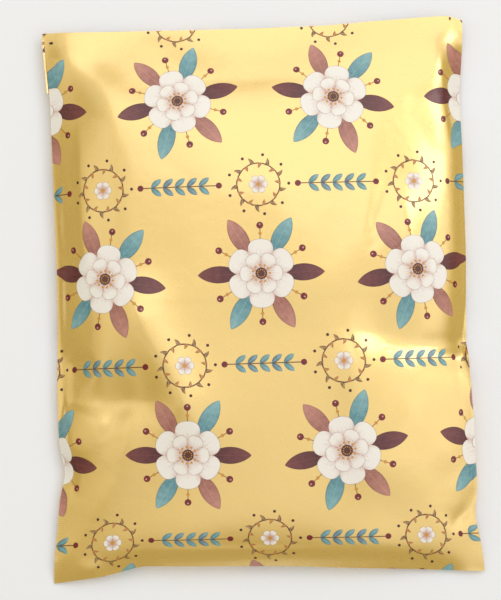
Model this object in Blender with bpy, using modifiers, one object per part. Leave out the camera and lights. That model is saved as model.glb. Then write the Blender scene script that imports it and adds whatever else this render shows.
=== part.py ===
"""A sealed, lightly filled poly mailer bag, lying on its back with its printed face up.

Metres, +Z up. The bag's length lies along Y, with the closed flap toward +Y. The folded and welded
film is one piece, and the closed bag can't be seen into, so it is one solid.
"""

import math

import bmesh
import bpy

BAG_NAME = "mailer_bag"
COLLECTION_NAME = "poly_mailer_bag"

# The closed bag, measured flat: across the two side welds, and from bottom fold to flap fold.
BAG_WIDTH = 0.254
BAG_LENGTH = 0.330

# The filled bag, as it lies.
FILLED_HEIGHT = 0.034
SEAM_HEIGHT = 0.012
CORNER_HEIGHT = 0.0045

# How far the contents draw each edge in, and where along its length each is drawn in most.
SIDE_DRAW = 0.0055
SIDE_DRAW_AT = 0.0
BOTTOM_DRAW = 0.0085
BOTTOM_DRAW_AT = -0.060
FLAP_END_DRAW = 0.0010
FLAP_END_DRAW_AT = 0.0

# How far in from each edge the printed face climbs to its full height.
SIDE_CLIMB = 0.062
BOTTOM_CLIMB = 0.058
FLAP_END_CLIMB = 0.085

# How far in from each edge the back stands off the table.
SIDE_RISE = 0.040
BOTTOM_RISE = 0.036
FLAP_END_RISE = 0.066

# How full each curve is: higher powers bend more sharply near the edge, or near an edge's ends.
CLIMB_POWER = 2.2
RISE_POWER = 1.7
DRAW_POWER = 2.6

# The flat stretches of film beside the contents.
SIDE_WELD = 0.006
BOTTOM_FOLD = 0.003
FLAP_END_FLAT = 0.014
EDGE_THICKNESS = 0.0014

# The flap, turned over onto the back and stuck down.
FLAP_LENGTH = 0.038
FLAP_STEP = 0.0007
FLAP_EDGE_RUN = 0.0008

# The cage that Subdivision Surface smooths. SLOPE_CELLS lie between each edge and the flat of the back.
SLOPE_CELLS = 2
REST_CELLS_ACROSS = 4
REST_CELLS_ALONG = 5
SMOOTHING_LEVELS = 2
CREASE_ANGLE = math.radians(50)
LEVEL_TOLERANCE = 1e-7

# The film: gold ink under a clear layer.
FILM_COLOR = (0.80, 0.56, 0.20, 1.0)
FILM_METALLIC = 0.45
FILM_ROUGHNESS = 0.34


def clear_scene():
    """Remove the startup scene's objects."""
    for item in list(bpy.data.objects):
        bpy.data.objects.remove(item, do_unlink=True)


def even_stations(low, high, count):
    """The ends of count equal intervals from low to high."""
    return [low + (high - low) * step / count for step in range(count + 1)]


def across_stations():
    """Where the cage's lines cross the width: the outline, the weld's inner edge, the flat of the back."""
    edge = BAG_WIDTH / 2
    rest_edge = edge - SIDE_RISE
    side = [edge, *even_stations(edge - SIDE_WELD, rest_edge, SLOPE_CELLS)]
    rest = even_stations(-rest_edge, rest_edge, REST_CELLS_ACROSS)[1:-1]
    return [*(-at for at in side), *rest, *reversed(side)]


def along_stations():
    """Where the cage's lines cross the length, with a close pair at the flap's edge."""
    edge = BAG_LENGTH / 2
    flap_edge = edge - FLAP_LENGTH
    bottom_rest = BOTTOM_RISE - edge
    top_rest = edge - FLAP_END_RISE
    bottom = [-edge, *even_stations(BOTTOM_FOLD - edge, bottom_rest, SLOPE_CELLS)]
    rest = even_stations(bottom_rest, top_rest, REST_CELLS_ALONG)[1:-1]
    top = even_stations(top_rest, flap_edge - FLAP_EDGE_RUN, SLOPE_CELLS)
    return [*bottom, *rest, *top, flap_edge, edge - FLAP_END_FLAT, edge]


def climb(inset, run):
    """Height share at this distance in from an edge: 0 at the edge, 1 from the end of the run on."""
    share = min(max(inset / run, 0.0), 1.0)
    return 1 - (1 - share) ** CLIMB_POWER


def fullness(across, along):
    """How far the printed face has climbed from the seam to the full height, from 0 to 1."""
    side = climb(BAG_WIDTH / 2 - abs(across) - SIDE_WELD, SIDE_CLIMB)
    bottom = climb(BAG_LENGTH / 2 + along - BOTTOM_FOLD, BOTTOM_CLIMB)
    flap_end = climb(BAG_LENGTH / 2 - along - FLAP_END_FLAT, FLAP_END_CLIMB)
    return side * bottom * flap_end


def bow(position, half_size, peak):
    """1 at the peak of an edge that is drawn in, and 0 at the edge's ends."""
    reach = half_size - peak if position > peak else half_size + peak
    return 1 - min(abs(position - peak) / reach, 1.0) ** DRAW_POWER


def seam_height(across, along):
    """Height of the film's mid-plane where nothing fills it: the corners droop below the seams."""
    middle = max(bow(across, BAG_WIDTH / 2, 0.0), bow(along, BAG_LENGTH / 2, 0.0))
    return CORNER_HEIGHT + (SEAM_HEIGHT - CORNER_HEIGHT) * middle


def stand_off(across, along):
    """How far the back has risen from the table, from 0 under the contents to 1 at an edge."""
    side = (BAG_WIDTH / 2 - abs(across)) / SIDE_RISE
    bottom = (BAG_LENGTH / 2 + along) / BOTTOM_RISE
    flap_end = (BAG_LENGTH / 2 - along) / FLAP_END_RISE
    return (1 - min(side, bottom, flap_end, 1.0)) ** RISE_POWER


def plan_position(across, along):
    """Where a point of the flat bag lies once the contents have drawn the edges in."""
    side_pull = SIDE_DRAW * bow(along, BAG_LENGTH / 2, SIDE_DRAW_AT) * across / (BAG_WIDTH / 2)
    draw, draw_at = (BOTTOM_DRAW, BOTTOM_DRAW_AT) if along < 0 else (FLAP_END_DRAW, FLAP_END_DRAW_AT)
    end_pull = draw * bow(across, BAG_WIDTH / 2, draw_at) * along / (BAG_LENGTH / 2)
    return across - side_pull, along - end_pull


def upper_height(across, along):
    """Height of the printed face."""
    edge = seam_height(across, along) + EDGE_THICKNESS / 2
    return edge + (FILLED_HEIGHT - edge) * fullness(across, along)


def lower_height(across, along):
    """Height of the back, lower by the flap's step where the flap covers it."""
    edge = seam_height(across, along) - EDGE_THICKNESS / 2
    covered = along > BAG_LENGTH / 2 - FLAP_LENGTH - FLAP_EDGE_RUN / 2
    return edge * stand_off(across, along) - (FLAP_STEP if covered else 0.0)


def add_flat_grid(mesh):
    """A grid over the flat bag, with its lines at the stations."""
    columns = across_stations()
    rows = along_stations()
    bmesh.ops.create_grid(mesh, x_segments=len(columns) - 1, y_segments=len(rows) - 1, size=1.0)
    for vertex in mesh.verts:
        column = round((vertex.co.x + 1) / 2 * (len(columns) - 1))
        row = round((vertex.co.y + 1) / 2 * (len(rows) - 1))
        vertex.co = (columns[column], rows[row], 0.0)


def fill(mesh):
    """Extrude the grid into a front and a back that share a thin edge, and give both their height."""
    extruded = bmesh.ops.extrude_face_region(mesh, geom=mesh.faces[:])
    front = {item for item in extruded["geom"] if isinstance(item, bmesh.types.BMVert)}
    for vertex in mesh.verts:
        across, along = vertex.co.x, vertex.co.y
        height = upper_height if vertex in front else lower_height
        vertex.co = (*plan_position(across, along), height(across, along))
    bmesh.ops.recalc_face_normals(mesh, faces=mesh.faces[:])


def rims_flat_face(edge):
    """Whether this edge lies in the table's plane and only one of its two faces does."""
    if any(abs(vertex.co.z) > LEVEL_TOLERANCE for vertex in edge.verts):
        return False
    levels = [all(abs(vertex.co.z) < LEVEL_TOLERANCE for vertex in face.verts) for face in edge.link_faces]
    return any(levels) and not all(levels)


def crease_edges(mesh):
    """Keep the outline, the flap's step and the rim of the flat of the back sharp in the smoothing."""
    crease = mesh.edges.layers.float.new("crease_edge")
    for edge in mesh.edges:
        if edge.calc_face_angle() > CREASE_ANGLE or rims_flat_face(edge):
            edge[crease] = 1.0


def film_material():
    """Satin gold printed film."""
    material = bpy.data.materials.new("gold_film")
    material.use_nodes = True
    shader = material.node_tree.nodes["Principled BSDF"]
    shader.inputs["Base Color"].default_value = FILM_COLOR
    shader.inputs["Metallic"].default_value = FILM_METALLIC
    shader.inputs["Roughness"].default_value = FILM_ROUGHNESS
    return material


def make_bag(collection):
    """The closed bag as one soft solid."""
    cage = bmesh.new()
    add_flat_grid(cage)
    fill(cage)
    crease_edges(cage)
    data = bpy.data.meshes.new(BAG_NAME)
    cage.to_mesh(data)
    cage.free()
    data.materials.append(film_material())
    data.shade_smooth()
    bag = bpy.data.objects.new(BAG_NAME, data)
    collection.objects.link(bag)
    smoothing = bag.modifiers.new("smoothing", "SUBSURF")
    smoothing.levels = SMOOTHING_LEVELS
    smoothing.render_levels = SMOOTHING_LEVELS
    return bag


def main():
    clear_scene()
    collection = bpy.data.collections.new(COLLECTION_NAME)
    bpy.context.scene.collection.children.link(collection)
    make_bag(collection)


main()
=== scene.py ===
"""A sealed, lightly filled mailing bag of gold printed film, seen from above on a pale floor.

The film is a flat bag that a cloth simulation inflates between the floor and a padded ceiling. Its seams,
flap, creases and dents follow. Lengths are in metres, and in millimetres where a name ends in _mm.
"""

import math
from typing import NamedTuple

import bpy
import numpy as np
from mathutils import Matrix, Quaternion, Vector


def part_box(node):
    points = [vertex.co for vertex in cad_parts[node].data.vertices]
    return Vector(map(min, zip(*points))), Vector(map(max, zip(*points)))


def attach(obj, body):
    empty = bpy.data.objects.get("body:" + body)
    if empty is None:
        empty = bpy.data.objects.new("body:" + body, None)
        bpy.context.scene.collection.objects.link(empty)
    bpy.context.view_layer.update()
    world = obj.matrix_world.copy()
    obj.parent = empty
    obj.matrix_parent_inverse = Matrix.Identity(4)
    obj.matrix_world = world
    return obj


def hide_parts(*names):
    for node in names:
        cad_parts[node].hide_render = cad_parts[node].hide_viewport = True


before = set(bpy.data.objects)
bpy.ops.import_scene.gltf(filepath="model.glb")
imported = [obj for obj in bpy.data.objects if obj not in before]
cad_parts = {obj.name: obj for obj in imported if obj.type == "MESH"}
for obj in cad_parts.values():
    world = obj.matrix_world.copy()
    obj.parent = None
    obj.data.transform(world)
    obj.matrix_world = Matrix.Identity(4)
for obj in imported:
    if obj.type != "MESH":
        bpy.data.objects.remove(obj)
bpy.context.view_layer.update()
BAG_LOW, BAG_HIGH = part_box("mailer_bag")

# The closed bag, flat. Its place and size are the frame's.
BAG_WIDTH = BAG_HIGH.x - BAG_LOW.x
BAG_LENGTH = BAG_HIGH.y - BAG_LOW.y
FILLED_HEIGHT = BAG_HIGH.z - BAG_LOW.z
SIDE_WELD = 0.003
FLAP_LENGTH = 0.038
FLAP_SHIFT = 0.0014
FLAP_THICKNESS = 0.00035
WELD_THICKNESS = 0.00022

# Half the flat bag's sides, for what is placed in millimetres from its middle.
HALF_WIDTH_MM = BAG_WIDTH * 500
HALF_LENGTH_MM = BAG_LENGTH * 500

# The simulated film: its cells, how high and how far opened it starts, and its count of frames.
CELLS_ACROSS = 70
CELLS_ALONG = 94
WELD_CELLS = 2
START_HEIGHT = 0.0125
START_OPENING = 0.004
START_OPENING_RUN = 0.010
SETTLE_FRAMES = 36

# The room that the contents take: the ceiling's height over the middle and the edges, its flat rim at the
# sides, and how far in from each edge and how steeply it climbs.
CEILING_TOP = 0.028
CEILING_EDGE = 0.0135
CEILING_FLAT_RIM = 0.004
LEFT_CLIMB = 0.055
RIGHT_CLIMB = 0.036
BOTTOM_CLIMB = 0.040
FLAP_END_CLIMB = 0.085
CLIMB_POWER = 3.0

# The floor and the ceiling that the film is pressed between.
PRESS_HALF_WIDTH = 0.16
PRESS_HALF_LENGTH = 0.20
PRESS_LINES_ACROSS = 61
PRESS_LINES_ALONG = 81
PRESS_CLEARANCE = 0.001
PRESS_DEPTH = 0.02
PRESS_FRICTION = 2

# How much of the pressure reaches the flap's fold, where it begins to rise, and over what distance.
LEAST_PRESSURE = 0.05
PRESSURE_START = 0.012
PRESSURE_RUN = 0.027

# How the side welds hang, and how far in and how often the film beside them is evened out.
LEFT_WELD_DROOP = math.radians(20)
RIGHT_WELD_DROOP = math.radians(40)
WELD_EASE = 0.016
WELD_SMOOTHING = 8

# The calmed parts: how far from the middle each begins, how far from there it is fully calm, and how often
# it is evened out.
FLAP_CALM_START = 0.045
FLAP_CALM_EASE = 0.045
FLAP_SMOOTHING = 70
RIGHT_CALM_START = 0.062
RIGHT_CALM_EASE = 0.025
RIGHT_SMOOTHING = 50
BOTTOM_CALM_START = 0.066
BOTTOM_CALM_EASE = 0.030
BOTTOM_SMOOTHING = 45

# Creases: the height left for them, how sharp they are, and how they fade at their own ends and the edges.
CREASE_ROOM = 0.006
CREASE_POWER = 1.5
CREASE_END_FADE = 0.3
CREASE_EDGE_FADE_MM = 14

# The outline: how far in the film follows it, and over how many points each way it is evened out.
OUTLINE_REACH = 0.022
OUTLINE_SOFTNESS = 3

# The flanks, where the film rounds down to the right and bottom edges: how round they are, the run over
# which their first slope is read, its limit, how often they are evened out, and how far in the back rises.
RIGHT_FLANK_POWER = 3.2
BOTTOM_FLANK_POWER = 1.7
FLANK_STEP = 0.003
FLANK_START_SLOPE = 0.22
FLANK_SMOOTHING = 5
BACK_LIFT_REACH = 0.0085

# How far the corners hang, and how far in the film hangs with them.
BOTTOM_CORNER_DROOP = 0.006
TOP_CORNER_DROOP = 0.002
CORNER_REACH = 0.045

# Clear space between the parts of the baking map, and the width of its strips for the film's cut edges.
MAP_GAP = 0.008
MAP_RIM = 0.001

# More than any rounding error, in metres or as a share.
TOLERANCE = 1e-6


# The flat film


def film_stations():
    """Where the grid's lines lie across and along the flat bag, with even cells between the side welds."""
    weld_line = BAG_WIDTH / 2 - SIDE_WELD
    weld = np.linspace(weld_line, BAG_WIDTH / 2, WELD_CELLS + 1)[1:]
    between = np.linspace(-weld_line, weld_line, CELLS_ACROSS + 1)
    across = np.concatenate([-weld[::-1], between, weld])
    along = np.linspace(-BAG_LENGTH / 2, BAG_LENGTH / 2, CELLS_ALONG + 1)
    return across, along


def film_layers(across, along):
    """Index grids of the front's and the back's points. They share the welds and both ends."""
    rows, columns = len(along), len(across)
    front = np.arange(rows * columns).reshape(rows, columns)
    back = front.copy()
    inner = (slice(1, rows - 1), slice(WELD_CELLS + 1, columns - WELD_CELLS - 1))
    inner_shape = back[inner].shape
    back[inner] = rows * columns + np.arange(inner_shape[0] * inner_shape[1]).reshape(inner_shape)
    return front, back


def quads(layer):
    """The four corners of each cell of an index grid, row by row."""
    corners = [layer[:-1, :-1], layer[:-1, 1:], layer[1:, 1:], layer[1:, :-1]]
    return np.stack(corners, axis=-1).reshape(-1, 4)


def flat_film_object(across, along, front, back):
    """The flat bag as one mesh, opened a little so that pressure can act on it."""
    across_grid, along_grid = np.meshgrid(across, along)
    edge_distance = np.minimum(BAG_WIDTH / 2 - np.abs(across_grid), BAG_LENGTH / 2 - np.abs(along_grid))
    opening = START_OPENING * (1 - np.exp(-edge_distance / START_OPENING_RUN))
    points = np.zeros((back.max() + 1, 3))
    for layer, side in ((back, -1), (front, 1)):
        points[layer, 0] = across_grid
        points[layer, 1] = along_grid
        points[layer, 2] = START_HEIGHT + side * opening * (front != back)
    between_welds = slice(WELD_CELLS, len(across) - WELD_CELLS)
    faces = np.concatenate([quads(front), quads(back[:, between_welds])[:, ::-1]])
    data = bpy.data.meshes.new("flat_film")
    data.from_pydata(points.tolist(), [], faces.tolist())
    film = bpy.data.objects.new("flat_film", data)
    bpy.context.scene.collection.objects.link(film)
    return film


# Inflating it


def climb(inset, run):
    """Height share at this distance in from an edge: 0 at the edge, 1 from the end of the run on."""
    share = np.clip(inset / run, 0, 1)
    return 1 - (1 - share) ** CLIMB_POWER


def ceiling_height(across, along):
    """Height of the padded ceiling over the film: low at the edges, like the contents."""
    side_climb = np.where(across < 0, LEFT_CLIMB, RIGHT_CLIMB)
    side = climb(BAG_WIDTH / 2 - SIDE_WELD - CEILING_FLAT_RIM - np.abs(across), side_climb)
    bottom = climb(BAG_LENGTH / 2 + along, BOTTOM_CLIMB)
    flap_end = climb(BAG_LENGTH / 2 - along, FLAP_END_CLIMB)
    return CEILING_EDGE + (CEILING_TOP - CEILING_EDGE) * side * bottom * flap_end


def add_press(name, height, facing_down):
    """A wide surface at height(across, along) that the film can't pass."""
    across, along = np.meshgrid(np.linspace(-PRESS_HALF_WIDTH, PRESS_HALF_WIDTH, PRESS_LINES_ACROSS),
                                np.linspace(-PRESS_HALF_LENGTH, PRESS_HALF_LENGTH, PRESS_LINES_ALONG))
    layer = np.arange(across.size).reshape(across.shape)
    points = np.stack([across, along, height(across, along)], axis=-1).reshape(-1, 3)
    faces = quads(layer)[:, ::-1] if facing_down else quads(layer)
    data = bpy.data.meshes.new(name)
    data.from_pydata(points.tolist(), [], faces.tolist())
    press = bpy.data.objects.new(name, data)
    bpy.context.scene.collection.objects.link(press)
    press.modifiers.new("collision", "COLLISION")
    press.collision.thickness_outer = PRESS_CLEARANCE
    press.collision.thickness_inner = PRESS_DEPTH
    press.collision.cloth_friction = PRESS_FRICTION
    return press


def add_pressure_group(film, along_grid, front, back):
    """Weights for the pressure, which is lower toward the flap's fold."""
    pressure = film.vertex_groups.new(name="pressure")
    inset = BAG_LENGTH / 2 - along_grid
    share = np.clip((inset - PRESSURE_START) / PRESSURE_RUN, LEAST_PRESSURE, 1)
    for layer in (back, front):
        for point, weight in zip(layer.ravel().tolist(), share.ravel().tolist()):
            pressure.add([point], weight, "REPLACE")


def add_cloth(film):
    """Thin, hardly stretching film under pressure."""
    cloth = film.modifiers.new("cloth", "CLOTH")
    settings = cloth.settings
    settings.quality = 6
    settings.mass = 0.15
    settings.tension_stiffness = 40
    settings.compression_stiffness = 40
    settings.shear_stiffness = 20
    settings.bending_stiffness = 2
    settings.tension_damping = 5
    settings.bending_damping = 0.5
    settings.air_damping = 3
    settings.use_pressure = True
    settings.uniform_pressure_force = 2
    settings.vertex_group_pressure = "pressure"
    settings.effector_weights.gravity = 0
    cloth.collision_settings.distance_min = PRESS_CLEARANCE
    cloth.collision_settings.collision_quality = 3
    cloth.point_cache.frame_end = SETTLE_FRAMES


def inflated_points(across, along, front, back):
    """The film's points after the simulation. Everything it needed is removed again."""
    film = flat_film_object(across, along, front, back)
    floor = add_press("press_floor", lambda x, y: np.zeros_like(x), False)
    ceiling = add_press("press_ceiling", ceiling_height, True)
    add_pressure_group(film, np.meshgrid(across, along)[1], front, back)
    add_cloth(film)
    for step in range(1, SETTLE_FRAMES + 1):
        bpy.context.scene.frame_set(step)
    settled = film.evaluated_get(bpy.context.evaluated_depsgraph_get()).to_mesh()
    points = np.empty(len(settled.vertices) * 3)
    settled.vertices.foreach_get("co", points)
    for item in (film, floor, ceiling):
        bpy.data.objects.remove(item, do_unlink=True)
    bpy.context.scene.frame_set(1)
    return points.reshape(-1, 3)


# Shaping it


def refined(grid):
    """The grid with a point added between every two, on the cubic curve through the nearest four."""
    for axis in (0, 1):
        grid = np.moveaxis(grid, axis, 0)
        ends = np.concatenate([2 * grid[:1] - grid[1:2], grid, 2 * grid[-1:] - grid[-2:-1]])
        between = (9 * (ends[1:-2] + ends[2:-1]) - ends[:-3] - ends[3:]) / 16
        fine = np.empty((2 * len(grid) - 1, *grid.shape[1:]))
        fine[::2] = grid
        fine[1::2] = between
        grid = np.moveaxis(fine, 0, axis)
    return grid


def smooth_share(value):
    """0 below 0, 1 above 1, and an even S between."""
    value = np.clip(value, 0, 1)
    return value * value * (3 - 2 * value)


class Crease(NamedTuple):
    """A line where the film bends: a ridge, or a valley where its height is negative.

    Places are in millimetres from the bag's middle. The widths are those of its left and right flanks,
    looking from start to end.
    """

    start: tuple
    end: tuple
    height: float
    left: float
    right: float

    def height_at(self, across_mm, along_mm):
        """How much the crease raises the film there, in millimetres."""
        run = np.subtract(self.end, self.start)
        length = np.hypot(*run)
        ahead = run / length
        from_start_across = across_mm - self.start[0]
        from_start_along = along_mm - self.start[1]
        progress = (from_start_across * ahead[0] + from_start_along * ahead[1]) / length
        to_left = from_start_along * ahead[0] - from_start_across * ahead[1]
        width = np.where(to_left > 0, self.left, self.right)
        flank = np.exp(-np.abs(to_left / width) ** CREASE_POWER)
        fade_in = smooth_share(progress / CREASE_END_FADE)
        fade_out = smooth_share((1 - progress) / CREASE_END_FADE)
        return self.height * flank * fade_in * fade_out


CREASES = [
    # The shoulder left of the middle, the trough under it and the short lip beside the trough.
    Crease((-86, 20), (-31, -92), 4.8, 16, 17),
    Crease((-140, -55), (-46, -61), -4.6, 24, 12),
    Crease((-122, -56), (-88, -76), 0.9, 7, 8),
    # The buckle in the left side, and the ridge to the bottom left corner's tip.
    Crease((-114, -84), (-114, -118), -0.9, 5, 7),
    Crease((-140, -176), (-97, -150), 2.2, 6, 5),
    # The left side's shoulder.
    Crease((-104, 116), (-103, 2), 1.3, 13, 5),
    # The slope down to the flap's fold, which begins in two soft bends, and its left end.
    Crease((-116, 114), (-4, 98), 2.2, 22, 30),
    Crease((-104, 126), (112, 132), -1.1, 12, 34),
    Crease((-160, 150), (-92, 147), 1.6, 12, 12),
    # The right side: the steep upper edge, the upright highlight and the fold that runs in from the edge.
    Crease((108, 160), (116, 82), 1.6, 6, 11),
    Crease((82, 70), (92, -4), 1.5, 9, 12),
    Crease((150, -44), (38, -15), -4.6, 17, 20),
    # Below it, a soft ridge toward the corner, and the buckle in the right side.
    Crease((76, -58), (114, -106), 1.2, 13, 16),
    Crease((132, -115), (104, -139), -1.5, 4, 6),
    # The full lower end.
    Crease((-122, -144), (120, -146), 2.3, 24, 9),
    # The long soft ridges down the middle.
    Crease((10, 96), (20, -24), 2.3, 28, 34),
    Crease((50, -2), (58, -134), 2.8, 26, 13),
]

# The outline as it lies, in millimetres from the middle: (along, across) for the sides, (across, along)
# for the ends. The contents draw the edges in, and both side welds buckle once near the bottom.
LEFT_EDGE_MM = [
    (-165, -128.2), (-150, -127.2), (-132, -124.8), (-115, -123.2), (-103, -120.2), (-97, -118.6),
    (-91, -121.4), (-79, -122.6), (-50, -122.9), (-5, -121.2), (28, -121.2), (80, -121.9),
    (125, -122.8), (157, -125.2), (165, -125.2),
]
RIGHT_EDGE_MM = [
    (-165, 126.2), (-150, 124.5), (-141, 123.2), (-134, 120.6), (-127, 121.2), (-117, 123.0),
    (-70, 121.8), (-34, 120.0), (-10, 120.3), (20, 121.5), (123, 122.9), (145, 125.2), (165, 125.9),
]
BOTTOM_EDGE_MM = [
    (-127, -164.0), (-113, -161.8), (-99, -160.2), (-84, -156.6), (-76, -154.2), (-56, -155.0),
    (8, -157.0), (64, -160.4), (127, -164.6),
]
TOP_EDGE_MM = [
    (-127, 164.0), (-100, 163.3), (0, 162.4), (45, 162.9), (77, 164.7), (113, 166.4), (121, 166.2),
    (127, 162.0),
]

# The flanks: the place along the edge and how far in they begin, in millimetres, and the angle at the edge.
RIGHT_FLANK = [
    (-165, 10, 8), (-142, 14, 14), (-120, 26, 26), (-60, 26, 24), (-38, 30, 22), (-30, 50, 45),
    (-5, 38, 44), (20, 26, 43), (60, 22, 43), (88, 19, 42), (100, 26, 44), (118, 34, 45), (142, 18, 42),
    (150, 16, 36), (157, 14, 8), (165, 14, 6),
]
BOTTOM_FLANK = [
    (-127, 14, 12), (-100, 14, 22), (-60, 13, 36), (0, 13, 40), (90, 13, 40), (108, 12, 34), (120, 9, 14),
    (127, 8, 8),
]


def eased(values):
    """The values with each one evened out with its neighbours in the first axis."""
    count = 2 * OUTLINE_SOFTNESS + 1
    first_axis = (OUTLINE_SOFTNESS, OUTLINE_SOFTNESS)
    padded = np.pad(values, [first_axis] + [(0, 0)] * (values.ndim - 1), mode="edge")
    return sum(padded[start:start + len(values)] for start in range(count)) / count


def outline(points_mm, position):
    """Where an edge lies at each position along it, with its corners eased."""
    at, place = np.transpose(points_mm) / 1000
    return eased(np.interp(position, at, place))


def fit_outline(grids, across, along):
    """Moves the film in plan so that its four edges lie on the outline, and less and less further in."""
    edge_grid = grids[0].copy()
    for points_mm, column in ((LEFT_EDGE_MM, 0), (RIGHT_EDGE_MM, -1)):
        shift = outline(points_mm, edge_grid[:, column, 1]) - edge_grid[:, column, 0]
        share = np.exp(-np.abs(across - across[:, column, None]) / OUTLINE_REACH)
        for grid in grids:
            grid[..., 0] += shift[:, None] * share
    for points_mm, row in ((BOTTOM_EDGE_MM, 0), (TOP_EDGE_MM, -1)):
        shift = outline(points_mm, edge_grid[row, :, 0]) - edge_grid[row, :, 1]
        share = np.exp(-np.abs(along - along[row]) / OUTLINE_REACH)
        for grid in grids:
            grid[..., 1] += shift * share


def smoothed(grid, passes):
    """The grid after its points have moved toward their neighbours' middle this many times."""
    for _ in range(passes):
        for axis in (0, 1):
            grid = np.moveaxis(grid.copy(), axis, 0)
            grid[1:-1] = (grid[:-2] + 2 * grid[1:-1] + grid[2:]) / 4
            grid = np.moveaxis(grid, 0, axis)
    return grid


def calm_film(grid, share, passes):
    """Takes the small puckers out where the share is 1."""
    grid += (smoothed(grid, passes) - grid) * share[..., None]


def ease_sides(grid, across):
    """Softens the hinge line between each side weld and the film beside it."""
    calm_film(grid, smooth_share(1 - (BAG_WIDTH / 2 - np.abs(across)) / WELD_EASE), WELD_SMOOTHING)


def right_share(across):
    """1 over the right side, which the contents fill, and 0 elsewhere."""
    return smooth_share((across - RIGHT_CALM_START) / RIGHT_CALM_EASE)


def calm_ends_and_right(grid, across, along):
    """Calms the end that the flap doubles, and the right side and the bottom, which the contents fill."""
    calm_film(grid, smooth_share((along - FLAP_CALM_START) / FLAP_CALM_EASE), FLAP_SMOOTHING)
    calm_film(grid, right_share(across), RIGHT_SMOOTHING)
    calm_film(grid, smooth_share((-along - BOTTOM_CALM_START) / BOTTOM_CALM_EASE), BOTTOM_SMOOTHING)


def round_flank(front, back, flank, power, outward, position):
    """Rounds one side down to its edge, which is the grids' last column, and lifts the back to meet it.

    Outward is the axis that crosses the edge, and position is where each row lies along it.
    """
    at, widths_mm, angles = np.transpose(flank)
    width = np.interp(position * 1000, at, widths_mm) / 1000
    steepness = np.tan(np.radians(np.interp(position * 1000, at, angles)))
    inset = np.abs(front[:, -1:, outward] - front[..., outward])
    heights = [np.interp((reach, reach + FLANK_STEP), row[::-1], height[::-1])
               for reach, row, height in zip(width, inset, front[..., 2])]
    start, before = eased(np.array(heights)).T
    slope = np.clip((before - start) / FLANK_STEP, 0, FLANK_START_SLOPE)
    share = np.clip(1 - inset / width[:, None], 0, 1)
    straight = slope[:, None] * width[:, None] * share
    round_part = ((steepness - slope) * width / power)[:, None] * share ** power
    rounded = np.maximum(start[:, None] - straight - round_part, 0)
    lift = rounded[:, -1:] - front[:, -1:, 2]
    front[..., 2] = np.where(share > 0, rounded, front[..., 2])
    back[..., 2] += lift * np.exp(-(inset / BACK_LIFT_REACH) ** 2)
    back[..., 2] = np.clip(back[..., 2], 0, front[..., 2])


def round_flanks(front_points, back_points, across, along):
    """Rounds the bottom end and the right side, and evens out the right side."""
    round_flank(front_points.swapaxes(0, 1)[:, ::-1], back_points.swapaxes(0, 1)[:, ::-1],
                BOTTOM_FLANK, BOTTOM_FLANK_POWER, 1, across[0])
    round_flank(front_points, back_points, RIGHT_FLANK, RIGHT_FLANK_POWER, 0, along[:, 0])
    calm_film(front_points, right_share(across), FLANK_SMOOTHING)


def lower_corners(grid, across, along):
    """Lets the corners hang toward the floor."""
    from_side = BAG_WIDTH / 2 - np.abs(across)
    from_end = BAG_LENGTH / 2 - np.abs(along)
    share = np.exp(-np.hypot(from_side, from_end) / CORNER_REACH)
    drop = np.where(along < 0, BOTTOM_CORNER_DROOP, TOP_CORNER_DROOP)
    grid[..., 2] = np.maximum(grid[..., 2] - drop * share, 0)


def crease_front(front_points):
    """Adds the creases of the printed face, which fade out at its edges."""
    across_mm = front_points[..., 0] * 1000
    along_mm = front_points[..., 1] * 1000
    height_mm = sum(crease.height_at(across_mm, along_mm) for crease in CREASES)
    inset_mm = np.minimum(HALF_WIDTH_MM - np.abs(across_mm), HALF_LENGTH_MM - np.abs(along_mm))
    front_points[..., 2] += height_mm / 1000 * smooth_share(inset_mm / CREASE_EDGE_FADE_MM)


def spread_welds(grid, across):
    """Lays the side welds outward from the contents, drooping a little."""
    weld_line = BAG_WIDTH / 2 - SIDE_WELD
    columns = across[0]
    for side, droop in ((-1, LEFT_WELD_DROOP), (1, RIGHT_WELD_DROOP)):
        welded = side * columns > weld_line + TOLERANCE
        hinge = np.argmin(np.abs(columns - side * weld_line))
        out = side * columns[welded] - weld_line
        grid[:, welded, 0] = grid[:, hinge, 0, None] + side * out * math.cos(droop)
        grid[:, welded, 2] = grid[:, hinge, 2, None] - out * math.sin(droop)


def lift_over_flap(back_points, along):
    """Lifts the back off the floor where the flap lies under it."""
    under_flap = along > BAG_LENGTH / 2 - FLAP_LENGTH
    back_points[under_flap, 2] = np.maximum(back_points[under_flap, 2], 2 * FLAP_THICKNESS)


def part_layers(front_points, back_points):
    """Keeps the front at least a weld's thickness above the back, and the back no lower than the floor."""
    middle = (front_points[..., 2] + back_points[..., 2]) / 2
    half = np.maximum((front_points[..., 2] - back_points[..., 2]) / 2, WELD_THICKNESS / 2)
    front_points[..., 2] = middle + half
    back_points[..., 2] = np.maximum(middle - half, 0)


def layer_points(points, front, back, across, along):
    """Fine grids of the front's and the back's points, and of their places across and along the bag."""
    across_fine, along_fine = (refined(grid[..., None])[..., 0] for grid in np.meshgrid(across, along))
    front_points = refined(points[front])
    back_points = refined(points[back])
    lowest = back_points[..., 2].min()
    scale = (FILLED_HEIGHT - CREASE_ROOM) / (front_points[..., 2].max() - lowest)
    for grid in (front_points, back_points):
        grid[..., 2] = (grid[..., 2] - lowest) * scale
        spread_welds(grid, across_fine)
        ease_sides(grid, across_fine)
        calm_ends_and_right(grid, across_fine, along_fine)
    fit_outline((front_points, back_points), across_fine, along_fine)
    round_flanks(front_points, back_points, across_fine, along_fine)
    crease_front(front_points)
    for grid in (front_points, back_points):
        lower_corners(grid, across_fine, along_fine)
    lift_over_flap(back_points, along_fine)
    part_layers(front_points, back_points)
    return front_points, back_points, across_fine, along_fine


# Building the mesh


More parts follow.
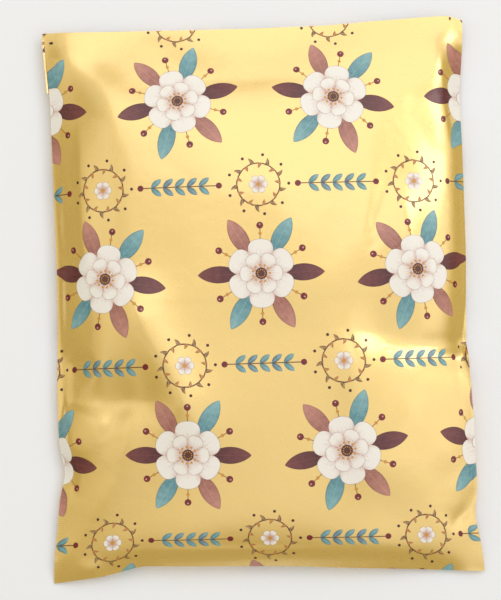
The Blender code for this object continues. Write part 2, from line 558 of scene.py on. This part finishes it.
class Layer(NamedTuple):
    """A closed surface with its upper and its lower side on two grids of points, joined by a rim.

    Each side has its points' places on the flat film, and how far it is moved from there on the baking map.
    """

    upper: np.ndarray
    lower: np.ndarray
    upper_web: np.ndarray
    lower_web: np.ndarray
    upper_shift: tuple
    lower_shift: tuple


def bag_layer(front_points, back_points, across, along):
    """The bag's front and back. The back's film goes on from the front's at the bottom fold."""
    front_web = np.stack([across, along], axis=-1)
    back_web = np.stack([across, -BAG_LENGTH - along], axis=-1)
    back_shift = (BAG_WIDTH + MAP_GAP, BAG_LENGTH)
    return Layer(front_points, back_points, front_web, back_web, (0, 0), back_shift)


def flap_layer(back_points, across, along):
    """The flap, turned over the top onto the back and stuck down, a little out of line with the bag."""
    rows = along[:, 0] > BAG_LENGTH / 2 - FLAP_LENGTH
    upper = back_points[rows].copy()
    upper[..., 0] -= FLAP_SHIFT
    upper[..., 2] -= FLAP_THICKNESS / 4
    lower = upper.copy()
    lower[..., 2] -= FLAP_THICKNESS
    web = np.stack([across[rows], BAG_LENGTH - along[rows]], axis=-1)
    return Layer(upper, lower, web, web, (BAG_WIDTH + MAP_GAP, MAP_GAP), (0, MAP_GAP))


def layer_faces(layer):
    """One closed layer's faces, its count of rim faces, and its corners' places on both maps."""
    rows, columns = layer.upper.shape[:2]
    upper = np.arange(rows * columns).reshape(rows, columns)
    top = quads(upper)
    bottom = top[:, ::-1]
    edge = np.concatenate([upper[0, :-1], upper[:-1, -1], upper[-1, :0:-1], upper[:0:-1, 0]])
    rim = np.stack([edge, edge, np.roll(edge, -1), np.roll(edge, -1)], axis=-1)
    rim_below = np.array([0, 1, 1, 0])
    faces = np.concatenate([top, bottom + upper.size, rim + upper.size * rim_below])
    upper_web = layer.upper_web.reshape(-1, 2)
    lower_web = layer.lower_web.reshape(-1, 2)
    middle = (upper_web.min(axis=0) + upper_web.max(axis=0)) / 2
    # Which way each rim corner faces along both axes: -1, 0 or 1.
    outward = np.trunc((upper_web[rim] - middle) / (upper_web.max(axis=0) - middle) * (1 + TOLERANCE))
    rim_strip = outward * rim_below[:, None] * MAP_RIM
    film_map = np.concatenate([upper_web[top], lower_web[bottom], upper_web[rim]])
    baking_map = np.concatenate([
        upper_web[top] + layer.upper_shift,
        lower_web[bottom] + layer.lower_shift,
        upper_web[rim] + layer.upper_shift + rim_strip,
    ])
    return faces, len(rim), film_map, baking_map


def shade_film(data, is_rim):
    """Smooth film with sharp cut edges."""
    data.polygons.foreach_set("use_smooth", ~is_rim)
    corner_edges = np.empty(len(data.loops), dtype=np.int32)
    data.loops.foreach_get("edge_index", corner_edges)
    sharp = np.zeros(len(data.edges), dtype=bool)
    sharp[corner_edges.reshape(-1, 4)[is_rim]] = True
    data.edges.foreach_set("use_edge_sharp", sharp)


def film_mesh(layers):
    """One mesh of closed layers, with a map of the flat film in metres and a map to bake its print on."""
    points, faces, is_rim, film_maps, baking_maps = [], [], [], [], []
    for layer in layers:
        layer_quads, rim_count, film_map, baking_map = layer_faces(layer)
        faces.append(layer_quads + sum(map(len, points)))
        is_rim.append(np.arange(len(layer_quads)) >= len(layer_quads) - rim_count)
        points += [layer.upper.reshape(-1, 3), layer.lower.reshape(-1, 3)]
        film_maps.append(film_map)
        baking_maps.append(baking_map)
    data = bpy.data.meshes.new("mailer_film")
    data.from_pydata(np.concatenate(points).tolist(), [], np.concatenate(faces).tolist())
    baking_map = np.concatenate(baking_maps)
    baking_map = (baking_map - baking_map.min(axis=(0, 1)) + MAP_GAP) / (2 * BAG_WIDTH + 4 * MAP_GAP)
    for name, place in (("film", np.concatenate(film_maps)), ("OFBake", baking_map)):
        layer_map = data.uv_layers.new(name=name)
        layer_map.data.foreach_set("uv", place.ravel().astype(np.float32))
    shade_film(data, np.concatenate(is_rim))
    return data


# The print and the film

# The print's soft edge, and its columns and rows, counted from the middle of the front.
PRINT_EDGE_MM = 0.16
BLOSSOM_PITCH_MM = 92
BLOSSOM_ROW_PITCH_MM = 104
BLOSSOM_FIRST_ROW_MM = 14
SMALL_FIRST_ROW_MM = 66

# Blossoms: how far each may be turned, their petals and dots, and the berries' stems between the leaves.
BLOSSOM_TURN = 0.25
PETAL_COUNT = 6
PETAL_LENGTH_MM = 20
INNER_PETAL_LENGTH_MM = 12.4
BLOSSOM_EYE_MM = 3.4
DOT_COUNT = 11
BERRY_STEM_HALF_MM = 0.22
BERRY_STEM_START_MM = 15
BERRY_STEM_END_MM = 27

# Petals: half a petal's width as a share of its distance out, the pitch of its veins as a share of its
# length, and half the width of its veins and its outline.
HALF_PETAL_SPREAD = 0.577
PETAL_VEIN_PITCH = 0.12
PETAL_VEIN_HALF_MM = 0.12
PETAL_OUTLINE_HALF_MM = 0.18

# Leaves: how full they are, their darker edge, their side veins and their rib.
LEAF_FULLNESS = 0.8
LEAF_EDGE_MM = 0.9
LEAF_VEIN_PITCH_MM = 2.3
LEAF_VEIN_SLANT = 1.2
LEAF_VEIN_HALF_MM = 0.10
LEAF_RIB_HALF_MM = 0.14

# Wreaths, each with a small flower in it.
WREATH_RADIUS_MM = 12.5
WREATH_STEM_HALF_MM = 0.38
WREATH_LEAF_COUNT = 18
WREATH_LEAF_SLANT = 0.9
WREATH_BEAD_COUNT = 9
SMALL_PETAL_LENGTH_MM = 5.4
SMALL_EYE_MM = 1.3

# Sprigs: their stem, and the pairs of leaves along it.
SPRIG_LENGTH_MM = 46
SPRIG_STEM_HALF_MM = 0.3
SPRIG_LEAF_PITCH_MM = 7
SPRIG_LEAVES_EACH_WAY = 2.5
SPRIG_LEAF_ANGLE = math.radians(38)

# The film's texture: the size of its patches and their height, in millimetres, and that height's unit.
GRAIN_SIZE_MM = 0.9
GRAIN_HEIGHT_MM = 0.010
LINE_SIZE_MM = 1.6
LINE_STRETCH = 40
LINE_HEIGHT_MM = 0.012
DIMPLE_SIZE_MM = 9.0
DIMPLE_HEIGHT_MM = 0.16
WELD_RIB_PITCH_MM = 1.3
WELD_RIB_HEIGHT_MM = 0.02
WELD_RIB_EASE_MM = 0.4
RELIEF_UNIT = 0.001

# The film's shader, how far full cover with ink changes it, and the size of the patches in the ink.
BARE_METALLIC = 0.55
INK_METALLIC_DROP = 0.52
BARE_ROUGHNESS = 0.24
ROUGHNESS_MOTTLE = 0.06
ROUGHNESS_MOTTLE_SIZE_MM = 14.0
INK_ROUGHNESS_RISE = 0.12
INK_COAT_DROP = 0.75
SPECULAR_LEVEL = 0.3
COAT_ROUGHNESS = 0.15
COAT_IOR = 2.0
WASH_SIZE_MM = 3.0


def ink(red, green, blue):
    """A color in the shader's linear values, from its 0 to 255 screen values."""
    return (*((value / 255) ** 2.2 for value in (red, green, blue)), 1.0)


GOLD = (0.92, 0.62, 0.15, 1.0)
CREAM = ink(252, 246, 236)
ROSE_SHADE = ink(206, 158, 140)
ROSE = ink(222, 158, 140)
ROSE_BROWN = ink(150, 92, 78)
MAROON = ink(78, 28, 34)
MAROON_PALE = ink(140, 78, 72)
RED = ink(150, 36, 40)
BROWN = ink(104, 62, 38)
ORANGE_BROWN = ink(190, 112, 48)
OCHRE = ink(214, 150, 62)
OCHRE_PALE = ink(236, 190, 120)
TEAL = ink(72, 128, 140)
TEAL_PALE = ink(160, 204, 204)
SLATE = ink(70, 92, 120)
INK_EDGE = ink(62, 34, 36)


class Field:
    """A number that varies over a surface or the room, as an output in the node tree being written in."""

    nodes = None
    links = None

    def __init__(self, socket):
        self.socket = socket

    def __add__(self, other):
        return calculate("ADD", self, other)

    def __sub__(self, other):
        return calculate("SUBTRACT", self, other)

    def __rsub__(self, other):
        return calculate("SUBTRACT", other, self)

    def __mul__(self, other):
        return calculate("MULTIPLY", self, other)

    def __truediv__(self, other):
        return calculate("DIVIDE", self, other)

    def __pow__(self, other):
        return calculate("POWER", self, other)

    def __abs__(self):
        return calculate("ABSOLUTE", self)

    __radd__ = __add__
    __rmul__ = __mul__


def write_in(tree):
    """Lets new nodes and links go into this tree."""
    Field.nodes = tree.nodes
    Field.links = tree.links


def feed(slot, value):
    """Connects a field to a node's input, or sets a plain value there."""
    if isinstance(value, Field):
        Field.links.new(value.socket, slot)
    else:
        slot.default_value = value


def calculate(operation, *values):
    """One Math node."""
    node = Field.nodes.new("ShaderNodeMath")
    node.operation = operation
    for slot, value in zip(node.inputs, values):
        feed(slot, value)
    return Field(node.outputs[0])


def rise(value, start, end):
    """A smooth step from 0 to 1 while the value goes from start to end, which may lie below it."""
    node = Field.nodes.new("ShaderNodeMapRange")
    node.interpolation_type = "SMOOTHSTEP"
    for name, setting in (("Value", value), ("From Min", start), ("From Max", end)):
        feed(node.inputs[name], setting)
    return Field(node.outputs["Result"])


def inside(depth_mm):
    """1 where the depth is above 0, with a soft printed edge."""
    return rise(depth_mm, -PRINT_EDGE_MM, PRINT_EDGE_MM)


def mottle(place, size_mm, detail=2.0, stretch=1.0):
    """Noise from 0 to 1 with patches of this size, drawn out along the film by the stretch."""
    combine = Field.nodes.new("ShaderNodeCombineXYZ")
    feed(combine.inputs["X"], place[0] / size_mm)
    feed(combine.inputs["Y"], place[1] / (size_mm * stretch))
    node = Field.nodes.new("ShaderNodeTexNoise")
    node.inputs["Scale"].default_value = 1.0
    node.inputs["Detail"].default_value = detail
    Field.links.new(combine.outputs["Vector"], node.inputs["Vector"])
    return Field(node.outputs["Fac"])


def blend(share, color_a, color_b):
    """The first color where the share is 0, and the second where it is 1."""
    node = Field.nodes.new("ShaderNodeMix")
    node.data_type = "RGBA"
    feed(node.inputs[0], share)
    feed(node.inputs[6], color_a)
    feed(node.inputs[7], color_b)
    return Field(node.outputs[2])


def repeated(value, pitch):
    """Distance from the nearest multiple of the pitch, and which multiple that is."""
    index = calculate("FLOOR", value / pitch + 0.5)
    return value - index * pitch, index


def turned(across, along, angle):
    """A place in axes turned by an angle, which may vary over the film."""
    cosine = calculate("COSINE", angle)
    sine = calculate("SINE", angle)
    return across * cosine + along * sine, along * cosine - across * sine


def around(across, along, count):
    """Distance from the middle, and the place seen from the nearest of some evenly spaced spokes.

    The place is how far out along that spoke and how far beside it, and the last value is its number.
    """
    distance = calculate("SQRT", across * across + along * along)
    bearing = calculate("ARCTAN2", along, across)
    offset, spoke = repeated(bearing, 2 * math.pi / count)
    return distance, distance * calculate("COSINE", offset), distance * calculate("SINE", offset), spoke


def alternate(number):
    """1 for odd numbers and 0 for even ones."""
    return calculate("PINGPONG", number, 1.0)


class Print:
    """The color of the film so far, and how much of it is covered with ink."""

    def __init__(self, base):
        self.color = base
        self.cover = 0.0

    def add(self, share, color):
        """Prints this color where the share is above 0."""
        self.color = blend(share, self.color, color)
        self.cover = calculate("MAXIMUM", share, self.cover)


def disc(out, beside, at, radius):
    """1 inside a dot on a spoke, this far out."""
    from_middle = out - at
    return inside(radius - calculate("SQRT", from_middle * from_middle + beside * beside))


def paint_leaf(design, place, start, length, width, color, tip_color, wash):
    """A pointed leaf that lies outward from its start, pale toward its tip, with a rib and side veins."""
    out, beside = place
    progress = calculate("MINIMUM", calculate("MAXIMUM", (out - start) / length, 0.0), 1.0)
    half_width = (progress * (1 - progress) * 4) ** LEAF_FULLNESS * (width / 2)
    depth = half_width - abs(beside) - PRINT_EDGE_MM * 1.5
    share = inside(depth)
    paleness = progress * 0.7 + wash * 0.7 - 0.35
    edge_shade = rise(depth, LEAF_EDGE_MM, 0.0) * 0.4
    design.add(share, blend(edge_shade, blend(paleness, color, tip_color), INK_EDGE))
    vein_place, _ = repeated(out - abs(beside) * LEAF_VEIN_SLANT, LEAF_VEIN_PITCH_MM)
    veins = inside(LEAF_VEIN_HALF_MM - abs(vein_place)) * rise(depth, 0.1, 0.6) * 0.45
    rib = inside(LEAF_RIB_HALF_MM - abs(beside)) * share * 0.6
    design.add(calculate("MAXIMUM", veins, rib), tip_color)


def paint_petals(design, distance, out, beside, length, wash):
    """One ring of six rounded petals, shaded toward the middle and the gaps between petals."""
    valley = abs(beside) / calculate("MAXIMUM", out * HALF_PETAL_SPREAD, 0.5)
    depth = length * (1 - 0.28 * valley ** 3) - distance
    progress = distance / length
    shade = valley ** 4 * 0.6 + rise(progress, 0.8, 0.2) * 0.6
    vein_place, _ = repeated(beside, length * PETAL_VEIN_PITCH)
    veins = inside(PETAL_VEIN_HALF_MM - abs(vein_place)) * rise(progress, 0.85, 0.45) * 0.5
    body = blend(shade + veins + wash * 0.5 - 0.3, CREAM, ROSE_SHADE)
    design.add(inside(depth), body)
    petal_outline = inside(PETAL_OUTLINE_HALF_MM - abs(depth)) * (0.25 + wash * 0.5)
    design.add(petal_outline, ROSE_BROWN)


def paint_blossom_leaves(design, out, beside, spoke, wash):
    """Six leaves round a blossom, in three colors by turns."""
    kind = calculate("MODULO", spoke + PETAL_COUNT, 3.0)
    color = blend(rise(kind, 0.4, 0.6), MAROON, blend(rise(kind, 1.4, 1.6), TEAL, ROSE_BROWN))
    tip_color = blend(rise(kind, 0.4, 0.6), MAROON_PALE, blend(rise(kind, 1.4, 1.6), TEAL_PALE, ROSE))
    paint_leaf(design, (out, beside), start=12, length=25, width=10.5,
               color=color, tip_color=tip_color, wash=wash)


def paint_berries(design, out, beside, wash):
    """A berry on a thin stem between every two leaves of a blossom."""
    stem = inside(BERRY_STEM_HALF_MM - abs(beside)) * inside(out - BERRY_STEM_START_MM)
    design.add(stem * inside(BERRY_STEM_END_MM - out), BROWN)
    design.add(disc(out, beside, at=23.2, radius=1.0), OCHRE)
    design.add(disc(out, beside, at=28, radius=2.0), blend(wash, MAROON, RED))
    design.add(disc(out, beside, at=28.6, radius=0.5), ROSE)


def paint_blossoms(design, across, along, wash):
    """Large six-petalled blossoms with leaves and berries around them, in staggered rows."""
    row_place, row = repeated(along - BLOSSOM_FIRST_ROW_MM, BLOSSOM_ROW_PITCH_MM)
    stagger = alternate(row) * (BLOSSOM_PITCH_MM / 2)
    column_place, column = repeated(across - stagger, BLOSSOM_PITCH_MM)
    # Each blossom is turned by an amount of its own.
    turn = calculate("SINE", column * 2.3 + row * 4.1) * BLOSSOM_TURN
    place = turned(column_place, row_place, turn)
    distance, out, beside, spoke = around(*place, PETAL_COUNT)
    paint_blossom_leaves(design, out, beside, spoke, wash)
    _, petal_out, petal_beside, _ = around(*turned(*place, math.pi / PETAL_COUNT), PETAL_COUNT)
    paint_berries(design, petal_out, petal_beside, wash)
    paint_petals(design, distance, petal_out, petal_beside, PETAL_LENGTH_MM, wash)
    paint_petals(design, distance, out, beside, INNER_PETAL_LENGTH_MM, wash)
    design.add(inside(BLOSSOM_EYE_MM - distance), blend(wash, MAROON, BROWN))
    _, dot_out, dot_beside, _ = around(*place, DOT_COUNT)
    design.add(disc(dot_out, dot_beside, at=2.2, radius=0.35), OCHRE)
    design.add(disc(dot_out, dot_beside, at=4.9, radius=0.7), OCHRE)


def paint_wreaths(design, across, along, wash):
    """Rings of small leaves, each round a small flower."""
    row_place, row = repeated(along - SMALL_FIRST_ROW_MM, BLOSSOM_ROW_PITCH_MM)
    stagger = alternate(row) * (BLOSSOM_PITCH_MM / 2)
    column_place, _ = repeated(across - stagger, BLOSSOM_PITCH_MM)
    place = (column_place, row_place)
    distance, out, beside, spoke = around(*place, WREATH_LEAF_COUNT)
    ring = inside(WREATH_STEM_HALF_MM - abs(distance - WREATH_RADIUS_MM - (wash - 0.5) * 0.8))
    design.add(ring, BROWN)
    side = alternate(spoke) * 2 - 1
    slant_out, slant_beside = turned(out - WREATH_RADIUS_MM, beside, side * WREATH_LEAF_SLANT)
    color = blend(alternate(spoke), ORANGE_BROWN, BROWN)
    paint_leaf(design, (slant_out * side, slant_beside), start=-0.4, length=6.6, width=3.4,
               color=color, tip_color=OCHRE_PALE, wash=wash)
    _, bead_out, bead_beside, _ = around(*place, WREATH_BEAD_COUNT)
    design.add(disc(bead_out, bead_beside, at=WREATH_RADIUS_MM + 5.2, radius=0.9), MAROON)
    flower_distance, flower_out, flower_beside, _ = around(*place, PETAL_COUNT)
    paint_petals(design, flower_distance, flower_out, flower_beside, SMALL_PETAL_LENGTH_MM, wash)
    design.add(inside(SMALL_EYE_MM - flower_distance), OCHRE)


def paint_sprigs(design, across, along, wash):
    """Straight level stems with paired leaves, and a berry at each end."""
    row_place, row = repeated(along - SMALL_FIRST_ROW_MM, BLOSSOM_ROW_PITCH_MM)
    stagger = (1 - alternate(row)) * (BLOSSOM_PITCH_MM / 2)
    column_place, _ = repeated(across - stagger, BLOSSOM_PITCH_MM)
    within = inside(SPRIG_LENGTH_MM / 2 - abs(column_place))
    design.add(inside(SPRIG_STEM_HALF_MM - abs(row_place)) * within, BROWN)
    step_place, step = repeated(column_place, SPRIG_LEAF_PITCH_MM)
    leaf_out, leaf_beside = turned(step_place + 3.0, abs(row_place), SPRIG_LEAF_ANGLE)
    color = blend(alternate(step), TEAL, SLATE)
    past_end = inside(abs(step) - SPRIG_LEAVES_EACH_WAY)
    leaf_beside = leaf_beside + past_end * SPRIG_LENGTH_MM
    paint_leaf(design, (leaf_out, leaf_beside), start=0.2, length=8.0, width=3.8,
               color=color, tip_color=TEAL_PALE, wash=wash)
    end_berry = disc(abs(column_place), row_place, at=SPRIG_LENGTH_MM / 2, radius=1.8)
    design.add(end_berry, blend(wash, MAROON, RED))


def film_relief(across, along):
    """Height in millimetres of the film's grain, lines from its making, dimples and ribbed welds."""
    place = (across, along)
    grain = mottle(place, GRAIN_SIZE_MM) * GRAIN_HEIGHT_MM
    lines = mottle(place, LINE_SIZE_MM, stretch=LINE_STRETCH) * LINE_HEIGHT_MM
    dimples = mottle(place, DIMPLE_SIZE_MM, detail=3.0) * DIMPLE_HEIGHT_MM
    weld_line_mm = HALF_WIDTH_MM - SIDE_WELD * 1000
    weld = rise(abs(across), weld_line_mm - WELD_RIB_EASE_MM, weld_line_mm)
    ribs = calculate("SINE", along * (2 * math.pi / WELD_RIB_PITCH_MM)) * weld * WELD_RIB_HEIGHT_MM
    return grain + lines + dimples + ribs


def film_place():
    """Where each point lies on the flat film, across and along, in millimetres."""
    film_map = Field.nodes.new("ShaderNodeUVMap")
    film_map.uv_map = "film"
    split = Field.nodes.new("ShaderNodeSeparateXYZ")
    Field.links.new(film_map.outputs["UV"], split.inputs["Vector"])
    return Field(split.outputs["X"]) * 1000, Field(split.outputs["Y"]) * 1000


def film_material():
    """Satin gold film with the print on it."""
    material = bpy.data.materials.new("printed_gold_film")
    material.use_nodes = True
    write_in(material.node_tree)
    shader = Field.nodes["Principled BSDF"]
    across, along = film_place()
    wash = mottle((across, along), WASH_SIZE_MM, detail=3.0)
    design = Print(GOLD)
    paint_blossoms(design, across, along, wash)
    paint_wreaths(design, across, along, wash)
    paint_sprigs(design, across, along, wash)
    feed(shader.inputs["Base Color"], design.color)
    unevenness = mottle((across, along), ROUGHNESS_MOTTLE_SIZE_MM) * ROUGHNESS_MOTTLE
    feed(shader.inputs["Metallic"], BARE_METALLIC - design.cover * INK_METALLIC_DROP)
    feed(shader.inputs["Roughness"], BARE_ROUGHNESS + unevenness + design.cover * INK_ROUGHNESS_RISE)
    feed(shader.inputs["Coat Weight"], 1.0 - design.cover * INK_COAT_DROP)
    shader.inputs["Specular IOR Level"].default_value = SPECULAR_LEVEL
    shader.inputs["Coat Roughness"].default_value = COAT_ROUGHNESS
    shader.inputs["Coat IOR"].default_value = COAT_IOR
    relief = Field.nodes.new("ShaderNodeBump")
    relief.inputs["Distance"].default_value = RELIEF_UNIT
    feed(relief.inputs["Height"], film_relief(across, along))
    Field.links.new(relief.outputs["Normal"], shader.inputs["Normal"])
    return material


# Making the bag


def make_bag(collection):
    """The bag, riding on the frame in place of its CAD solid."""
    across, along = film_stations()
    front, back = film_layers(across, along)
    points = inflated_points(across, along, front, back)
    front_points, back_points, across, along = layer_points(points, front, back, across, along)
    bag_film = bag_layer(front_points, back_points, across, along)
    data = film_mesh([bag_film, flap_layer(back_points, across, along)])
    data.materials.append(film_material())
    bag = bpy.data.objects.new("mailer_film", data)
    collection.objects.link(bag)
    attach(bag, "root")
    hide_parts("mailer_bag")


# The stage

# The camera, which sees as many millimetres in each pixel as the photo does, and the point it looks at.
CAMERA_DISTANCE = 0.900
CAMERA_TILT = math.radians(3.5)
CAMERA_ROLL = math.radians(-1.9)
IMAGE_HEIGHT_PX = 600
MM_PER_PIXEL = 0.598
SENSOR_MM = 36.0
LOOK_AT = Vector((-0.0067, 0.0002, 0.0))

# Each softbox: the direction it stands in, its distance, its size and its power in watts.
SOFTBOXES = {
    "broad": (Vector((0.05, 0.52, 0.84)), 1.35, 1.1, 2.4),
    "right": (Vector((0.72, -0.05, 0.69)), 1.4, 0.9, 0.7),
    "left": (Vector((-0.75, 0.05, 0.66)), 1.4, 0.9, 0.8),
    "glint": (Vector((0.61, 0.37, 0.70)), 1.6, 0.42, 1.5),
}

# The room: where its glow is strongest, the ranges over which it fades, and its colors.
ROOM_TOWARD = Vector((0.44, 0.34, 0.84)).normalized()
ROOM_GLOW_RANGE = (0.05, 1.0)
ROOM_HEIGHT_RANGE = (0.25, 0.65)
ROOM_SCREEN_RANGE = (0.90, 0.74)
ROOM_DIM = (0.38, 0.33, 0.19, 1.0)
ROOM_BRIGHT = (1.04, 1.06, 1.12, 1.0)
BACKDROP = (0.80, 0.80, 0.79, 1.0)

# The floor, a little below the bag.
FLOOR_SIZE = 6.0
FLOOR_DROP = 0.0002
FLOOR_COLOR = (0.97, 0.98, 1.0, 1.0)
FLOOR_ROUGHNESS = 0.9


def make_floor(collection):
    """A wide pale floor."""
    data = bpy.data.meshes.new("floor")
    half = FLOOR_SIZE / 2
    corners = [(-half, -half, 0), (half, -half, 0), (half, half, 0), (-half, half, 0)]
    data.from_pydata(corners, [], [(0, 1, 2, 3)])
    material = bpy.data.materials.new("pale_floor")
    material.use_nodes = True
    shader = material.node_tree.nodes["Principled BSDF"]
    shader.inputs["Base Color"].default_value = FLOOR_COLOR
    shader.inputs["Roughness"].default_value = FLOOR_ROUGHNESS
    data.materials.append(material)
    floor = bpy.data.objects.new("floor", data)
    floor.location.z = -FLOOR_DROP
    collection.objects.link(floor)


def make_camera(collection):
    """The photo's camera: straight above, a little toward the bag's bottom, and rolled a little."""
    data = bpy.data.cameras.new("camera")
    data.sensor_width = SENSOR_MM
    data.lens = SENSOR_MM * CAMERA_DISTANCE * 1000 / (IMAGE_HEIGHT_PX * MM_PER_PIXEL)
    camera = bpy.data.objects.new("camera", data)
    back = Vector((0, -math.sin(CAMERA_TILT), math.cos(CAMERA_TILT)))
    camera.location = LOOK_AT + back * CAMERA_DISTANCE
    camera.rotation_mode = "QUATERNION"
    camera.rotation_quaternion = Quaternion((1, 0, 0), CAMERA_TILT) @ Quaternion((0, 0, 1), CAMERA_ROLL)
    collection.objects.link(camera)
    bpy.context.scene.camera = camera


def add_softbox(collection, name, toward, distance, size, power):
    """A square area light that faces the bag from this direction."""
    data = bpy.data.lights.new(name, "AREA")
    data.size = size
    data.energy = power
    light = bpy.data.objects.new(name, data)
    light.location = toward.normalized() * distance
    light.rotation_mode = "QUATERNION"
    light.rotation_quaternion = toward.to_track_quat("Z", "Y")
    collection.objects.link(light)


def make_room():
    """A soft room, brightest high up toward the bag's top right corner.

    It is dim and warm near the floor and at the far right. The camera itself sees a plain pale backdrop.
    """
    world = bpy.data.worlds.new("room")
    world.use_nodes = True
    write_in(world.node_tree)
    coordinates = Field.nodes.new("ShaderNodeTexCoord")
    facing = Field.nodes.new("ShaderNodeVectorMath")
    facing.operation = "DOT_PRODUCT"
    facing.inputs[1].default_value = ROOM_TOWARD
    split = Field.nodes.new("ShaderNodeSeparateXYZ")
    Field.links.new(coordinates.outputs["Generated"], facing.inputs[0])
    Field.links.new(coordinates.outputs["Generated"], split.inputs[0])
    glow = rise(Field(facing.outputs["Value"]), *ROOM_GLOW_RANGE)
    height = rise(Field(split.outputs["Z"]), *ROOM_HEIGHT_RANGE)
    clear_of_screen = rise(Field(split.outputs["X"]), *ROOM_SCREEN_RANGE)
    seen_by_camera = Field(Field.nodes.new("ShaderNodeLightPath").outputs["Is Camera Ray"])
    background = Field.nodes["Background"]
    room_color = blend(glow * height * clear_of_screen, ROOM_DIM, ROOM_BRIGHT)
    feed(background.inputs["Color"], blend(seen_by_camera, room_color, BACKDROP))
    bpy.context.scene.world = world
    bpy.context.scene.view_settings.view_transform = "Standard"


def main():
    collection = bpy.data.collections.new("mailer_visual")
    bpy.context.scene.collection.children.link(collection)
    make_bag(collection)
    make_floor(collection)
    make_camera(collection)
    for name, setting in SOFTBOXES.items():
        add_softbox(collection, name, *setting)
    make_room()


main()
